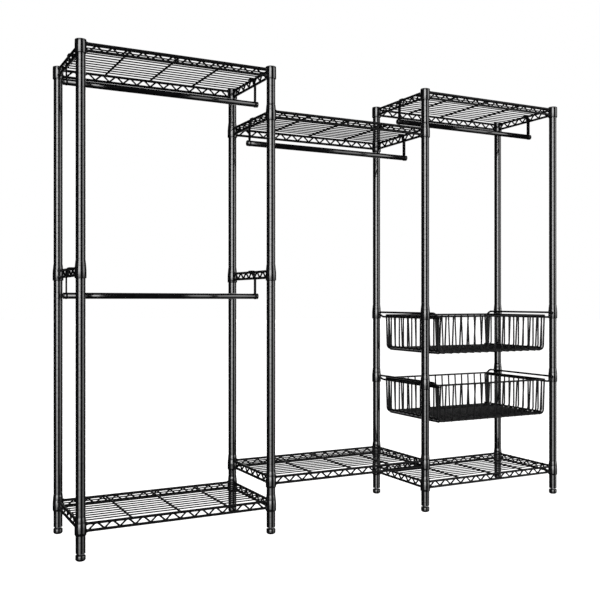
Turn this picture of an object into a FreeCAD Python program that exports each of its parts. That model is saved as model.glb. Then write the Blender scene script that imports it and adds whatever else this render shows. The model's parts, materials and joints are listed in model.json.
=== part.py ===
import FreeCAD, Part
import os
import re

import Sketcher

# Free-standing wire closet organizer: three bays, eight posts, six truss-sided wire shelves,
# two side ladders, four hanging rods and two pull-out wire baskets.
# Millimetres. Origin on the floor under the middle of the rack, +X to the right, +Y to the back, +Z up.

Vector = FreeCAD.Vector

# Driving sizes
SIZES = {
    # bays, from post to post
    "bay_width": 800,
    "bay_depth": 420,
    # posts and their caps
    "post_bottom": 29,
    "post_length": 1947,
    "post_diameter": 35,
    "post_wall": 1.2,
    "cap_thickness": 4,
    "cap_plug_length": 12,
    "plug_clearance": 0.1,
    # levelling feet, lock nuts and threaded inserts
    "foot_width": 39,
    "foot_height": 24,
    "foot_chamfer": 5,
    "stud_width": 10,
    "stud_length": 28,
    "stud_clearance": 0.1,
    "nut_width": 20,
    "nut_gap": 0.2,
    "insert_length": 20,
    # grooves of the posts, on which every collar is set
    "first_groove": 22,
    "groove_pitch": 25,
    # collars and the clip-on sleeves inside them
    "collar_width": 45,
    "collar_height": 46,
    "collar_bore": 41.8,
    "sleeve_height": 54,
    "sleeve_taper": 4,
    "sleeve_mouth": 6,
    "sleeve_clearance": 0.1,
    # wires of a shelf
    "lower_rail_height": 14,
    "upper_rail_height": 42,
    "rail_wire": 7.5,
    "zigzag_wire": 4,
    "zigzag_inset": 10,
    "cross_wire": 6.5,
    "deck_wire": 4,
    # hanging rods and their hooks
    "rod_diameter": 25,
    "rod_wall": 1.2,
    "rod_overhang": 22,
    "rod_drop": 65,
    "rod_cap_thickness": 5,
    "rod_cap_diameter": 26,
    "rod_plug_length": 8,
    "hook_width": 14,
    "hook_thickness": 3,
    "hook_reach": 13,
    "hook_lip": 10,
    "hook_gap": 0.2,
    # runners that carry the baskets
    "runner_overhang": 37,
    "runner_top_wire": 8,
    "runner_top_height": 34,
    "runner_wire": 7,
    "runner_reach": 58.5,
    # baskets
    "basket_rim_overlap": 3,
    "basket_rim_lip": 3.5,
    "basket_overhang": 21,
    "basket_height": 172,
    "basket_rim_height": 17,
    "basket_side_lean": 8,
    "basket_front_lean": 10,
    "basket_frame_wire": 7,
    "basket_wire": 4,
    "basket_floor_wire": 3.5,
    "basket_gap": 0.3,
}

# Counts
BAYS = 3
DECK_WIRE_COUNT = 11
CROSS_WIRE_COUNT = 3
FRONT_ZIGZAGS = 12
SIDE_ZIGZAGS = 6
BASKET_FRONT_WIRE_COUNT = 14
BASKET_SIDE_WIRE_COUNT = 11
BASKET_FLOOR_CROSS_WIRE_COUNT = 7

# Sides of a square wire and of what is round or nearly round
SQUARE_SIDES = 4
NUT_SIDES = 6
COLLAR_SIDES = 8
CAP_SIDES = 12
ROD_SIDES = 12
POST_SIDES = 16

# Grooves between the first one and the collars of a piece
BOTTOM_SHELF_COUNT = 3
MIDDLE_BOTTOM_SHELF_COUNT = 7
LOWER_BASKET_COUNT = 22
UPPER_BASKET_COUNT = 35
LADDER_COUNT = 42

# Grooves between the topmost collars and those of the middle bay
MIDDLE_DROP_COUNT = 7

# Bays, from the left
LEFT, MIDDLE, RIGHT = range(BAYS)

HALF_TURN = 180
QUARTER_TURN = 90

# Sizes that follow from the others
DERIVED = {
    "collar_top_place": "=post_bottom + post_length + cap_thickness - sleeve_height",
    "deck_pitch": "=bay_depth / %d" % (DECK_WIRE_COUNT + 1),
    "basket_width": "=bay_width - 2 * runner_reach - runner_wire + 2 * basket_rim_overlap",
    "basket_depth": "=bay_depth + 2 * basket_overhang",
}

doc = FreeCAD.newDocument("closet_organizer")
sheet = doc.addObject("Spreadsheet::Sheet", "Sizes")
aliases = {**SIZES, **DERIVED}
for row, alias in enumerate(aliases, start=1):
    sheet.set("A%d" % row, alias)
    sheet.set("B%d" % row, str(aliases[alias]))
    sheet.setAlias("B%d" % row, alias)
doc.recompute()

nodes = []


def sized(text):
    """A sum of size names, written as an expression on the sheet's cells."""
    return re.sub(r"[a-z]\w+", lambda word: "Sizes." + word[0] if word[0] in aliases else word[0], text)


def value(text):
    """What a sum of size names comes to."""
    return float(sheet.evalExpression(sized(text)))


def bind(thing, **sums):
    """Bind properties of an object to sums of size names."""
    for prop, text in sums.items():
        thing.setExpression(prop, sized(text))


def place(thing, x="0", y="0", z="0"):
    """Bind the place of an object to sums of size names, and return it."""
    for axis, text in zip("xyz", (x, y, z)):
        thing.setExpression("Placement.Base." + axis, sized(text))
    return thing


def turn(thing, axis, degrees):
    """Turn an object about an axis through its own origin, and return it."""
    thing.Placement = FreeCAD.Placement(thing.Placement.Base, FreeCAD.Rotation(axis, degrees))
    return thing


def group(name, pieces):
    """Several pieces held as one compound."""
    compound = doc.addObject("Part::Compound", name)
    compound.Links = pieces
    return compound


def copies(name, piece, places):
    """Copies of one piece, each at a place given as three sums."""
    made = []
    for x, y, z in places:
        made.append(place(group(name + "_copy", [piece]), x, y, z))
    return made


def node(label, *pieces):
    """A sub-part, which is written to its own file."""
    compound = group(label, list(pieces))
    compound.Label = label
    nodes.append(compound)
    return compound


def mirrored(name, piece):
    """The mirror image of a piece across the YZ plane."""
    image = doc.addObject("Part::Mirroring", name)
    image.Source = piece
    image.Normal = Vector(1, 0, 0)
    return image


def turned_back(name, piece):
    """A piece turned half round about the Z axis."""
    return turn(group(name, [piece]), Vector(0, 0, 1), HALF_TURN)


def sketch_on(body, role):
    """A new sketch on one of the body's own origin planes."""
    sketch = body.newObject("Sketcher::SketchObject", body.Name + "_sketch")
    plane = [feature for feature in body.Origin.OriginFeatures if feature.Role == role][0]
    sketch.AttachmentSupport = [(plane, "")]
    sketch.MapMode = "FlatFace"
    return sketch


def constrain(sketch, kind, places, text):
    """A named constraint whose value is bound to a sum."""
    name = "%s_%d" % (kind, sketch.ConstraintCount)
    index = sketch.addConstraint(Sketcher.Constraint(kind, *places, value(text)))
    sketch.renameConstraint(index, name)
    sketch.setExpression("Constraints." + name, sized(text))


def pad_outline(name, role, points, depth, midplane=True):
    """A closed outline of corners, each two sums, padded to both sides of its plane or upward from it."""
    body = doc.addObject("PartDesign::Body", name)
    sketch = sketch_on(body, role)
    corners = [Vector(value(across), value(up), 0) for across, up in points]
    lines = [Part.LineSegment(start, end) for start, end in zip(corners, corners[1:] + corners[:1])]
    sketch.addGeometry(lines, False)
    for side in range(len(points)):
        following = (side + 1) % len(points)
        sketch.addConstraint(Sketcher.Constraint("Coincident", side, 2, following, 1))
    for side, (across, up) in enumerate(points):
        constrain(sketch, "DistanceX", (-1, 1, side, 1), across)
        constrain(sketch, "DistanceY", (-1, 1, side, 1), up)
    pad = body.newObject("PartDesign::Pad", name + "_pad")
    pad.Profile = (sketch, [""])
    pad.Midplane = midplane
    bind(pad, Length=depth)
    return body


def wire_row(name, role, axis, wire, length, count, spread):
    """Parallel square wires, each padded to both sides of a plane, spread evenly about the middle."""
    half = "%s / 2" % wire
    body = pad_outline(name, role, square_corners(half, "0", "-(%s) / 2" % spread, axis), length)
    pad = body.Tip
    pattern = body.newObject("PartDesign::LinearPattern", name + "_pattern")
    pattern.Originals = [pad]
    pattern.Direction = (pad.Profile[0], [axis])
    pattern.Occurrences = count
    bind(pattern, Length=spread)
    body.Tip = pattern
    return body


def square_corners(half, across, start, axis):
    """The corners of a square wire's section, whose middle lies at the start of the given sketch axis."""
    middle = (start, across) if axis == "H_Axis" else (across, start)
    signs = (("-", "-"), ("+", "-"), ("+", "+"), ("-", "+"))
    return [("%s %s %s" % (middle[0], first, half), "%s %s %s" % (middle[1], second, half))
            for first, second in signs]


def spread(room, count):
    """The distance from the first to the last of several wires that share a room with even gaps."""
    return "(%s) * %s" % (room, (count - 1) / (count + 1))


def bar(name, length, width, height, x="0", y="0", z="0"):
    """A straight square wire, by its sizes along X, Y and Z and the place of its middle."""
    box = doc.addObject("Part::Box", name)
    bind(box, Length=length, Width=width, Height=height)
    return place(box, "%s - (%s) / 2" % (x, length), "%s - (%s) / 2" % (y, width),
                 "%s - (%s) / 2" % (z, height))


def corner_radius(width, sides):
    """How far a regular polygon's corners lie from its middle, by its width across flats."""
    return "(%s) / 2 / cos(%s)" % (width, HALF_TURN / sides)


def across_flats(corner_width, sides):
    """A regular polygon's width across flats, by its width across corners."""
    return "(%s) * cos(%s)" % (corner_width, HALF_TURN / sides)


def prism(name, sides, width, height, z="0"):
    """An upright prism, by its width across flats, with flats that face along X and Y."""
    piece = doc.addObject("Part::Prism", name)
    piece.Polygon = sides
    bind(piece, Circumradius=corner_radius(width, sides), Height=height)
    turn(piece, Vector(0, 0, 1), HALF_TURN / sides)
    return place(piece, z=z)


def padded_prism(name, sides, width, height):
    """An upright prism padded from a sketch, which a draft or a chamfer can follow."""
    corners = []
    for corner in range(sides):
        angle = HALF_TURN * (2 * corner + 1) / sides
        corners.append(tuple("%s * %s(%s)" % (corner_radius(width, sides), part, angle)
                             for part in ("cos", "sin")))
    body = pad_outline(name, "XY_Plane", corners, height, midplane=False)
    doc.recompute()
    return body


def drafted(name, sides, bottom_width, height, taper, tall):
    """An upright prism whose flats lean inward, so that a height named tall narrows it by the taper."""
    body = padded_prism(name, sides, bottom_width, height)
    pad = body.Tip
    flats = ["Face%d" % index for index, face in enumerate(pad.Shape.Faces, start=1)
             if len(face.Edges) < sides]
    draft = body.newObject("PartDesign::Draft", name + "_draft")
    draft.Base = (pad, flats)
    draft.NeutralPlane = (pad.Profile[0].AttachmentSupport[0][0], [""])
    bind(draft, Angle="atan((%s) / 2 / (%s))" % (taper, tall))
    body.Tip = draft
    return body


def chamfered(name, sides, width, height, size):
    """An upright prism with a chamfer round its underside."""
    body = padded_prism(name, sides, width, height)
    pad = body.Tip
    underside = min(range(len(pad.Shape.Faces)), key=lambda index: pad.Shape.Faces[index].CenterOfMass.z)
    chamfer = body.newObject("PartDesign::Chamfer", name + "_chamfer")
    chamfer.Base = (pad, ["Face%d" % (underside + 1)])
    bind(chamfer, Size=size)
    body.Tip = chamfer
    return body


def tube(name, sides, diameter, wall, length):
    """An upright tube."""
    return cut(name, prism(name + "_outside", sides, diameter, length),
               prism(name + "_bore", sides, "%s - 2 * %s" % (diameter, wall), length))


def cut(name, base, tool):
    """One piece with another cut out of it."""
    result = doc.addObject("Part::Cut", name)
    result.Base = base
    result.Tool = tool
    return result


def fused(name, pieces):
    """Pieces joined into one solid."""
    result = doc.addObject("Part::MultiFuse", name)
    result.Shapes = pieces
    result.Refine = True
    return result


# Places of the posts and of the grooves
def post_x(post):
    """The place of a post's middle along X, counted from the left."""
    return "bay_width * %s" % (post - BAYS / 2)


def bay_x(bay):
    """The place of a bay's middle along X, counted from the left."""
    return "bay_width * %s" % (bay - (BAYS - 1) / 2)


def above_first(grooves):
    """The place of collars that stand this many grooves above the first."""
    return "first_groove + groove_pitch * %d" % grooves


def below_top(grooves):
    """The place of collars that stand this many grooves below the topmost ones."""
    return "collar_top_place - groove_pitch * %d" % grooves


front = "-bay_depth / 2"
back = "bay_depth / 2"
post_places = [(post_x(post), y, "post_bottom") for y in (front, back) for post in range(BAYS + 1)]
post_names = ["%s_post_%d" % (side, post + 1) for side in ("front", "back") for post in range(BAYS + 1)]

# Posts, caps, inserts, lock nuts and levelling feet
post = tube("post_tube", POST_SIDES, "post_diameter", "post_wall", "post_length")
for name, (x, y, z) in zip(post_names, post_places):
    node(name, place(group(name + "_tube", [post]), x, y, z))

post_bore = "post_diameter - 2 * post_wall - plug_clearance"
cap_disc = prism("cap_disc", CAP_SIDES, "post_diameter", "cap_thickness", "post_length")
cap_plug = prism("cap_plug", NUT_SIDES, across_flats(post_bore, NUT_SIDES), "cap_plug_length",
                 "post_length - cap_plug_length")
post_cap = fused("post_cap", [cap_disc, cap_plug])
node("post_caps", *copies("post_cap", post_cap, post_places))

stud_hole = "stud_width + 2 * stud_clearance"
insert_body = prism("insert_body", NUT_SIDES, across_flats(post_bore, NUT_SIDES), "insert_length")
insert_hole = prism("insert_hole", NUT_SIDES, stud_hole, "insert_length")
insert = cut("foot_insert", insert_body, insert_hole)
node("foot_inserts", *copies("foot_insert", insert, post_places))

nut_thickness = "post_bottom - foot_height - 2 * nut_gap"
nut_body = prism("nut_body", NUT_SIDES, "nut_width", nut_thickness)
nut_hole = prism("nut_hole", NUT_SIDES, stud_hole, nut_thickness)
nut = place(cut("lock_nut", nut_body, nut_hole), z="nut_gap - post_bottom + foot_height")
node("lock_nuts", *copies("lock_nut", nut, post_places))

foot = chamfered("levelling_foot", COLLAR_SIDES, "foot_width", "foot_height", "foot_chamfer")
stud = prism("levelling_stud", NUT_SIDES, "stud_width", "stud_length", "foot_height")
for name, (x, y, z) in zip(post_names, post_places):
    for kind, piece in (("foot", foot), ("stud", stud)):
        label = name.replace("post", kind)
        node(label, place(group(label + "_copy", [piece]), x, y))

# Collar of a shelf corner, and the clip-on sleeve that wedges it on the post
collar_body = prism("collar_body", COLLAR_SIDES, "collar_width", "collar_height")
collar_hole = drafted("collar_hole", COLLAR_SIDES, "collar_bore", "collar_height", "sleeve_taper",
                      "sleeve_height")
collar = cut("collar", collar_body, collar_hole)
sleeve_body = drafted("sleeve_body", COLLAR_SIDES, "collar_bore - 2 * sleeve_clearance", "sleeve_height",
                      "sleeve_taper", "sleeve_height")
sleeve_hole = prism("sleeve_hole", COLLAR_SIDES, "post_diameter + 2 * sleeve_clearance", "sleeve_height")
sleeve_ring = cut("sleeve_ring", sleeve_body, sleeve_hole)
sleeve_opening = bar("sleeve_opening", "collar_width", "collar_width", "sleeve_height",
                     "sleeve_mouth + collar_width / 2", "0", "sleeve_height / 2")
sleeve = cut("sleeve", sleeve_ring, sleeve_opening)

rise = "(upper_rail_height - lower_rail_height)"


def zigzag(name, role, span, periods):
    """A zigzag wire between two rails, as a thin outline that starts and ends at the lower rail."""
    half_pitch = "(%s) / %d" % (span, 2 * periods)
    half_wire = "zigzag_wire / 2 * hypot(%s; %s) / (%s)" % (rise, half_pitch, half_pitch)
    over = []
    under = []
    for turn_index in range(2 * periods + 1):
        across = "(%s) * %s" % (span, turn_index / (2 * periods) - 1 / 2)
        rail = "upper_rail_height" if turn_index % 2 else "lower_rail_height"
        over.append((across, "%s + %s" % (rail, half_wire)))
        under.append((across, "%s - %s" % (rail, half_wire)))
    return pad_outline(name, role, under + over[::-1], "zigzag_wire")


web_offset = "(rail_wire + zigzag_wire) / 2"
long_span = "bay_width - collar_width"
short_span = "bay_depth - collar_width"
front_web = zigzag("front_web", "XZ_Plane", long_span + " - 2 * zigzag_inset", FRONT_ZIGZAGS)
left_web = zigzag("left_web", "YZ_Plane", short_span + " - 2 * zigzag_inset", SIDE_ZIGZAGS)


def long_truss(name):
    """The front side of a shelf: two rails and the zigzag wire behind them."""
    rails = [bar("%s_%s" % (name, level), long_span, "rail_wire", "rail_wire", z=level)
             for level in ("lower_rail_height", "upper_rail_height")]
    return group(name, rails + copies(name + "_web", front_web, [("0", web_offset, "0")]))


def short_truss(name):
    """The left side of a shelf: two rails and the zigzag wire on their inner side."""
    rails = [bar("%s_%s" % (name, level), "rail_wire", short_span, "rail_wire", z=level)
             for level in ("lower_rail_height", "upper_rail_height")]
    return group(name, rails + copies(name + "_web", left_web, [(web_offset, "0", "0")]))


front_truss = long_truss("front_truss")
back_truss = turned_back("back_truss", front_truss)
left_truss = short_truss("left_truss")
right_truss = turned_back("right_truss", left_truss)

corners = [("%sbay_width / 2" % across, "%sbay_depth / 2" % along, "0") for across in "-+" for along in "-+"]
deck = wire_row("deck_wires", "YZ_Plane", "H_Axis", "deck_wire", "bay_width + rail_wire", DECK_WIRE_COUNT,
                "deck_pitch * %d" % (DECK_WIRE_COUNT - 1))
place(deck, z="upper_rail_height + (rail_wire + deck_wire) / 2")
cross = wire_row("cross_wires", "XZ_Plane", "H_Axis", "cross_wire", "bay_depth - rail_wire", CROSS_WIRE_COUNT,
                 spread("bay_width", CROSS_WIRE_COUNT))
place(cross, z="upper_rail_height + (rail_wire - cross_wire) / 2")
shelf = group("shelf", [deck, cross]
              + [place(group("front_side", [front_truss]), y="-bay_depth / 2")]
              + [place(group("back_side", [back_truss]), y="bay_depth / 2")]
              + [place(group("left_side", [left_truss]), x="-bay_width / 2")]
              + [place(group("right_side", [right_truss]), x="bay_width / 2")]
              + copies("shelf_collar", collar, corners))

top_collars = below_top(0)
middle_top_collars = below_top(MIDDLE_DROP_COUNT)
ladder_collars = above_first(LADDER_COUNT)
shelf_places = {
    "left_top_shelf": (LEFT, top_collars),
    "left_bottom_shelf": (LEFT, above_first(BOTTOM_SHELF_COUNT)),
    "middle_top_shelf": (MIDDLE, middle_top_collars),
    "middle_bottom_shelf": (MIDDLE, above_first(MIDDLE_BOTTOM_SHELF_COUNT)),
    "right_top_shelf": (RIGHT, top_collars),
    "right_bottom_shelf": (RIGHT, above_first(BOTTOM_SHELF_COUNT)),
}
collar_spots = []
for label, (bay, z) in shelf_places.items():
    node(label, place(group(label + "_copy", [shelf]), bay_x(bay), "0", z))
    collar_spots += [(x, y, z) for x in (post_x(bay), post_x(bay + 1)) for y in (front, back)]

# Side ladders of the left bay, which carry its lower rod
truss_ends = [("0", "-bay_depth / 2", "0"), ("0", "bay_depth / 2", "0")]
ladder = group("ladder", [left_truss] + copies("ladder_collar", collar, truss_ends))
ladder_places = {
    "outer_side_ladder": (post_x(LEFT), ladder),
    "inner_side_ladder": (post_x(MIDDLE), turned_back("ladder_back", ladder)),
}
for label, (x, piece) in ladder_places.items():
    node(label, place(group(label + "_copy", [piece]), x, "0", ladder_collars))
    collar_spots += [(x, y, ladder_collars) for y in (front, back)]

# Hanging rods, each with a hook strip and an end cap at both ends, just in front of the middle deck wire
rod_upright = tube("rod_tube", ROD_SIDES, "rod_diameter", "rod_wall", "bay_width + 2 * rod_overhang")
rod = place(turn(group("rod", [rod_upright]), Vector(0, 1, 0), QUARTER_TURN),
            x="-bay_width / 2 - rod_overhang")
hook_in = "hook_reach - hook_thickness / 2"
hook_out = "hook_reach + hook_thickness / 2"
lip_in = "-(rail_wire / 2 + zigzag_wire + hook_gap)"
lip_out = "%s - hook_thickness" % lip_in
hook_under = "rod_drop + upper_rail_height + rail_wire / 2 + hook_gap"
hook_over = "%s + hook_thickness" % hook_under
hook_foot = "rod_diameter / 2"
hook_tip = "%s - hook_lip" % hook_under
hook_outline = [(hook_in, hook_foot), (hook_out, hook_foot), (hook_out, hook_over), (lip_out, hook_over),
                (lip_out, hook_tip), (lip_in, hook_tip), (lip_in, hook_under), (hook_in, hook_under)]
hook = place(pad_outline("rod_hook", "XZ_Plane", hook_outline, "hook_width"), x="bay_width / 2")

rod_cap_disc = prism("rod_cap_disc", COLLAR_SIDES, "rod_cap_diameter", "rod_cap_thickness")
rod_bore = "rod_diameter - 2 * rod_wall - plug_clearance"
rod_cap_plug = prism("rod_cap_plug", NUT_SIDES, across_flats(rod_bore, NUT_SIDES), "rod_plug_length",
                     "-rod_plug_length")
rod_cap_upright = fused("rod_cap_upright", [rod_cap_disc, rod_cap_plug])
rod_cap = place(turn(group("rod_cap", [rod_cap_upright]), Vector(0, 1, 0), QUARTER_TURN),
                x="bay_width / 2 + rod_overhang")
hook_pair = group("hook_pair", [hook, mirrored("left_hook", hook)])
rod_cap_pair = group("rod_cap_pair", [rod_cap, mirrored("left_rod_cap", rod_cap)])

rod_places = {
    "left_upper_rod": (LEFT, top_collars),
    "left_lower_rod": (LEFT, ladder_collars),
    "middle_rod": (MIDDLE, middle_top_collars),
    "right_rod": (RIGHT, top_collars),
}
rod_spots = [(bay_x(bay), "-deck_pitch / 2", "%s - rod_drop" % z) for bay, z in rod_places.values()]
for label, spot in zip(rod_places, rod_spots):
    node(label, *copies(label, rod, [spot]))
    node(label + "_hooks", *copies(label + "_hooks", hook_pair, [spot]))
node("rod_end_caps", *copies("rod_end_caps", rod_cap_pair, rod_spots))

# Runners: a loop of two wires joined at both ends, welded to two collars of the right bay
runner_length = "bay_depth + 2 * runner_overhang"
runner_height = "basket_rim_height - (basket_frame_wire + runner_wire) / 2 - basket_gap"
top_wire_x = "(collar_width + runner_top_wire) / 2"
runner_top = bar("runner_top", "runner_top_wire", runner_length, "runner_top_wire", top_wire_x, "0",
                 "runner_top_height")
runner_low = bar("runner_low", "runner_wire", runner_length, "runner_wire", "runner_reach", "0",
                 runner_height)
low_in = "runner_reach - runner_wire / 2"
low_under = "%s - runner_wire / 2" % runner_height
low_over = "%s + runner_wire / 2" % runner_height
top_out = "collar_width / 2 + runner_top_wire"
top_under = "runner_top_height - runner_top_wire / 2"
end_outline = [(low_in, low_under), (low_in, low_over), (top_out, "runner_top_height"),
               (top_out, top_under), ("%s - runner_top_wire / 2" % top_out, top_under),
               ("%s - runner_wire" % low_in, low_under)]
end_wire = pad_outline("runner_end", "XZ_Plane", end_outline, "runner_wire")
end_y = "(%s - runner_wire) / 2" % runner_length
runner_ends = copies("runner_end", end_wire, [("0", "-(%s)" % end_y, "0"), ("0", end_y, "0")])
runner = group("runner", [runner_top, runner_low] + runner_ends
               + copies("runner_collar", collar, truss_ends))
runner_back = mirrored("runner_mirrored", runner)
basket_collars = {"upper": above_first(UPPER_BASKET_COUNT), "lower": above_first(LOWER_BASKET_COUNT)}
runner_sides = {"left": (runner, post_x(RIGHT)), "right": (runner_back, post_x(BAYS))}
for level, z in basket_collars.items():
    for side, (piece, x) in runner_sides.items():
        label = "%s_%s_runner" % (level, side)
        node(label, place(group(label + "_copy", [piece]), x, "0", z))
        collar_spots += [(x, y, z) for y in (front, back)]

node("collar_sleeves", *copies("collar_sleeve", sleeve, collar_spots))

# Baskets: a rim and a smaller bottom frame, leaning walls of wires and a wire bottom
floor_width = "basket_width - 2 * basket_side_lean"
floor_depth = "basket_depth - 2 * basket_front_lean"


def frame_of_bars(name, width, depth, level):
    """A rectangle of four square wires, by its outer width and depth."""
    bars = []
    for sign in "-+":
        bars.append(bar(name + "_long", width, "basket_frame_wire", "basket_frame_wire",
                        y="%s(%s - basket_frame_wire) / 2" % (sign, depth), z=level))
        bars.append(bar(name + "_short", "basket_frame_wire", "%s - 2 * basket_frame_wire" % depth,
                        "basket_frame_wire", x="%s(%s - basket_frame_wire) / 2" % (sign, width), z=level))
    return bars


def wall(name, role, axis, wires, spread, lean, half_depth):
    """A leaning wall of upright wires between the bottom frame and the rim's lip, on the +X or +Y side."""
    tilt = Vector(-1, 0, 0) if axis == "H_Axis" else Vector(0, 1, 0)
    slant = "(%s - basket_rim_lip)" % lean
    rise_of_wall = "(basket_height - basket_frame_wire)"
    height = "hypot(%s; %s)" % (rise_of_wall, slant)
    row = wire_row(name, role, axis, "basket_wire", height, wires, spread)
    row.Placement = FreeCAD.Placement(Vector(0, 0, 0), FreeCAD.Rotation(tilt, 1))
    row.setExpression("Placement.Rotation.Angle", sized("atan(%s / %s)" % (slant, rise_of_wall)))
    middle = "%s - (basket_frame_wire + %s + basket_rim_lip) / 2" % (half_depth, lean)
    if axis == "H_Axis":
        place(row, y=middle, z="-basket_height / 2")
    else:
        place(row, x=middle, z="-basket_height / 2")
    return row


front_spread = spread(floor_width, BASKET_FRONT_WIRE_COUNT)
side_spread = spread(floor_depth, BASKET_SIDE_WIRE_COUNT)
back_wall = wall("basket_back_wall", "XY_Plane", "H_Axis", BASKET_FRONT_WIRE_COUNT, front_spread,
                 "basket_front_lean", "basket_depth / 2")
side_wall = wall("basket_side_wall", "XY_Plane", "V_Axis", BASKET_SIDE_WIRE_COUNT, side_spread,
                 "basket_side_lean", "basket_width / 2")
walls = [back_wall, turned_back("basket_front_wall", back_wall),
         side_wall, turned_back("basket_far_wall", side_wall)]

long_floor = wire_row("basket_long_floor", "YZ_Plane", "H_Axis", "basket_floor_wire",
                      "%s - 2 * basket_frame_wire" % floor_width, BASKET_SIDE_WIRE_COUNT, side_spread)
cross_spread = spread(floor_width, BASKET_FLOOR_CROSS_WIRE_COUNT)
short_floor = wire_row("basket_short_floor", "XZ_Plane", "H_Axis", "basket_floor_wire",
                       "%s - 2 * basket_frame_wire" % floor_depth, BASKET_FLOOR_CROSS_WIRE_COUNT,
                       cross_spread)
place(long_floor, z="-basket_height + basket_floor_wire / 2")
place(short_floor, z="-basket_height - basket_floor_wire / 2")


def corner_wire(name, across, along):
    """A leaning corner wire, lofted from the bottom frame's corner to the inner side of the rim's corner."""
    sections = []
    for end, width, depth, level in (
            ("low", floor_width, floor_depth, "-basket_height + basket_frame_wire / 2"),
            ("high", "basket_width - 2 * basket_rim_lip", "basket_depth - 2 * basket_rim_lip",
             "-basket_frame_wire / 2")):
        section = doc.addObject("Part::RegularPolygon", "%s_%s" % (name, end))
        section.Polygon = SQUARE_SIDES
        bind(section, Circumradius=corner_radius("basket_frame_wire", SQUARE_SIDES))
        turn(section, Vector(0, 0, 1), HALF_TURN / SQUARE_SIDES)
        sections.append(place(section, "%s(%s - basket_frame_wire) / 2" % (across, width),
                              "%s(%s - basket_frame_wire) / 2" % (along, depth), level))
    loft = doc.addObject("Part::Loft", name)
    loft.Sections = sections
    loft.Solid = True
    loft.Ruled = True
    return loft


basket_corners = [corner_wire("basket_corner_%d" % index, across, along)
                  for index, (across, along) in enumerate((("-", "-"), ("-", "+"), ("+", "-"), ("+", "+")))]
basket = group("basket", frame_of_bars("basket_rim", "basket_width", "basket_depth", "0")
               + frame_of_bars("basket_bottom", floor_width, floor_depth, "-basket_height")
               + walls + [long_floor, short_floor] + basket_corners)
for level, z in basket_collars.items():
    label = level + "_basket"
    node(label, place(group(label + "_copy", [basket]), bay_x(RIGHT), "0", "%s + basket_rim_height" % z))

# Build, test and write
doc.recompute()
for thing in doc.Objects:
    if "Invalid" in thing.State or "Error" in thing.State:
        raise RuntimeError("%s could not be built: %s" % (thing.Label, thing.State))
for piece in nodes:
    if piece.Shape.isNull() or not piece.Shape.isValid():
        raise RuntimeError("%s has no valid shape" % piece.Label)

os.makedirs("parts", exist_ok=True)
for piece in nodes:
    piece.Shape.exportStep("parts/%s.step" % piece.Label)
    print(piece.Label, len(piece.Shape.Solids), "solids")
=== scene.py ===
import json
import math

import bmesh
import bpy
from bmesh.types import BMEdge, BMVert
from bpy.props import FloatProperty, FloatVectorProperty, IntProperty, PointerProperty
from bpy.types import Operator, Panel, PropertyGroup
from mathutils import Matrix, Vector

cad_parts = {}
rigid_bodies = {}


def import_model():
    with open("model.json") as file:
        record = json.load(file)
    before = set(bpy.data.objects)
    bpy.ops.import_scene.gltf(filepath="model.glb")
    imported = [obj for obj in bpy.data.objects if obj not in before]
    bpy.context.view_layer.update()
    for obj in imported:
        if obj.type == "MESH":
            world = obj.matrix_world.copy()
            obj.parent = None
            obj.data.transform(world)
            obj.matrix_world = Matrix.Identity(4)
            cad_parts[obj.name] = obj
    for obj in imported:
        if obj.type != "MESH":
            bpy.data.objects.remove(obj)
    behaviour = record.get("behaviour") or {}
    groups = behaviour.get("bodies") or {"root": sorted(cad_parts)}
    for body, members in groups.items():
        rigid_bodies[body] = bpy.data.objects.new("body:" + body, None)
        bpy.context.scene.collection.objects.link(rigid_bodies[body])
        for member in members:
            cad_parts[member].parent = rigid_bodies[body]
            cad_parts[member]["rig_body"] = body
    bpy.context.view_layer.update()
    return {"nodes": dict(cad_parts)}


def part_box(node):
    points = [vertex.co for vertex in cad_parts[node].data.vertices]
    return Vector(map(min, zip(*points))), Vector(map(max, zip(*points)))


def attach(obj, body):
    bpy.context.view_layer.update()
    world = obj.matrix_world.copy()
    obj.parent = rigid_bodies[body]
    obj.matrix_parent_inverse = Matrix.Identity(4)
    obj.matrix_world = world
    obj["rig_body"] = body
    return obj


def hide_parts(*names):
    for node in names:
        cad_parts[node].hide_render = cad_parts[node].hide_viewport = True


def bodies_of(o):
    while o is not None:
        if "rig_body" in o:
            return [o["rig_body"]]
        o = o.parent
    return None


bl_info = {
    "name": "Wire closet organizer",
    "version": (1, 0, 0),
    "blender": (4, 5, 0),
    "location": "3D View > Sidebar > Closet",
    "description": "Dresses a three-bay wire closet organizer: posts, shelves, rods and baskets",
    "category": "Add Mesh",
}

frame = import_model()

BAYS = 3
POSTS = [f"{side}_post_{number}" for side in ("front", "back") for number in range(1, BAYS + 2)]
SHELVES = [f"{bay}_{level}_shelf"
           for bay in ("left", "middle", "right") for level in ("top", "bottom")]
TOP_SHELVES = ["left_top_shelf", "right_top_shelf"]
LADDERS = ["outer_side_ladder", "inner_side_ladder"]
RODS = ["left_upper_rod", "left_lower_rod", "middle_rod", "right_rod"]
RUNNERS = [f"{level}_{side}_runner" for level in ("upper", "lower") for side in ("left", "right")]
BASKETS = ["upper_basket", "lower_basket"]

# Which pair of posts, counted from the left, carries a ladder or a runner
PAIR_OF = {LADDERS[0]: 0, LADDERS[1]: 1, **{name: 2 if "left" in name else 3 for name in RUNNERS}}

X_AXIS, Y_AXIS, Z_AXIS = Vector((1, 0, 0)), Vector((0, 1, 0)), Vector((0, 0, 1))
QUARTER = math.pi / 2

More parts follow.
